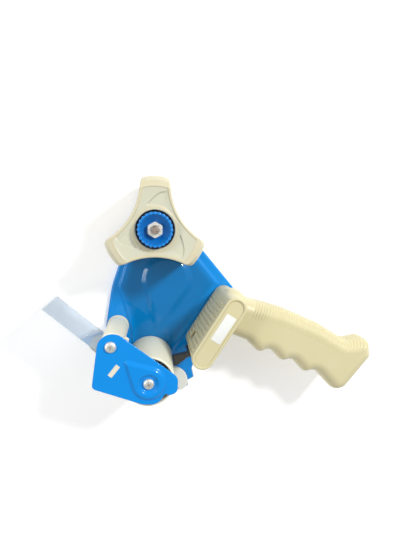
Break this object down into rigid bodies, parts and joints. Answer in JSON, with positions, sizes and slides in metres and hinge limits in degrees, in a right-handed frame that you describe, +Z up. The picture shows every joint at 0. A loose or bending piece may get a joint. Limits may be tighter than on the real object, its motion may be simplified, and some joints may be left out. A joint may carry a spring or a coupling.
{
  "type": "tape dispenser",
  "caption": "Hand-held packing-tape dispenser: pressed steel frame, three-arm tape hub with tension knob, guide and applicator rollers, serrated blade, clear wiper and moulded grip.",
  "frame": {"origin": "on the table under the middle of the bounding box, with the tool lying on its frame plate", "axes": "+Z up, along the roller and hub axes; +X towards the end of the grip; +Y from the nose towards the tape hub"},
  "size_m": [0.2543, 0.1791, 0.0662],
  "materials": {
    "blue_paint": "gloss",
    "cream_plastic": "satin",
    "roller_plastic": "satin",
    "hub_plastic": "satin",
    "knob_plastic": "gloss",
    "zinc_steel": "zinc plated",
    "blade_steel": "ground",
    "dark_rubber": "matte",
    "clear_sheet": "clear, scuffed",
    "white_nylon": "satin",
    "brake_felt": "felt",
    "label_paper": "blank sticker"
  },
  "bodies": {
    "frame": {"frame_plate": "blue_paint", "nose_plate": "blue_paint", "nose_bridge": "cream_plastic", "cutting_blade": "blade_steel", "blade_screws": "zinc_steel", "guide_axle": "zinc_steel", "applicator_axle": "zinc_steel", "nose_screws": "zinc_steel", "rear_screws": "zinc_steel", "edge_guide": "roller_plastic", "edge_guide_rivets": "zinc_steel", "stay_pin": "zinc_steel", "handle_shell": "cream_plastic", "grip_back": "cream_plastic", "handle_screws": "zinc_steel", "grip_screws": "zinc_steel", "blank_label": "label_paper", "spindle_bolt": "zinc_steel", "spindle_nut": "zinc_steel", "friction_disc": "brake_felt", "flap_root": "clear_sheet"},
    "hub": {"hub_reel": "hub_plastic", "hub_bush": "white_nylon", "brake_washer": "zinc_steel"},
    "brake": {"spring_cap": "zinc_steel", "brake_spring": "zinc_steel"},
    "knob": {"tension_knob": "knob_plastic", "knob_nut": "zinc_steel"},
    "applicator": {"applicator_roller": "roller_plastic", "applicator_bushes": "white_nylon"},
    "guide": {"guide_roller": "roller_plastic"},
    "wiper": {"wiper_flap": "clear_sheet"},
    "stay": {"tape_stay": "dark_rubber"}
  },
  "joints": [
    {"name": "hub_spin", "type": "hinge", "parent": "frame", "child": "hub", "pos_m": [-0.047, 0.0515, 0.034], "axis": [0, 0, 1], "continuous": true},
    {"name": "brake_travel", "type": "slide", "parent": "frame", "child": "brake", "axis": [0, 0, 1], "range_m": [-0.0015, 0.0015], "deforming": ["brake_spring"]},
    {"name": "knob_turn", "type": "hinge", "parent": "brake", "child": "knob", "pos_m": [-0.047, 0.0515, 0.058], "axis": [0, 0, 1], "range_deg": [-540, 540]},
    {"name": "applicator_spin", "type": "hinge", "parent": "frame", "child": "applicator", "pos_m": [-0.0515, -0.0583, 0.034], "axis": [0, 0, 1], "continuous": true},
    {"name": "guide_spin", "type": "hinge", "parent": "frame", "child": "guide", "pos_m": [-0.078, -0.0305, 0.034], "axis": [0, 0, 1], "continuous": true},
    {"name": "wiper_bend", "type": "hinge", "parent": "frame", "child": "wiper", "pos_m": [-0.07962, -0.04423, 0.0325], "axis": [0, 0, 1], "range_deg": [-8, 30], "stiffness_Nm_per_rad": 0.02},
    {"name": "stay_swing", "type": "hinge", "parent": "frame", "child": "stay", "pos_m": [-0.0195, -0.05, 0.02], "axis": [0, 0, 1], "range_deg": [0, 12], "stiffness_Nm_per_rad": 0.02, "springref_deg": -5.73}
  ],
  "couplings": [
    {"joint": "knob_turn", "follows": "brake_travel", "rad_per_m": 6283.2}
  ]
}
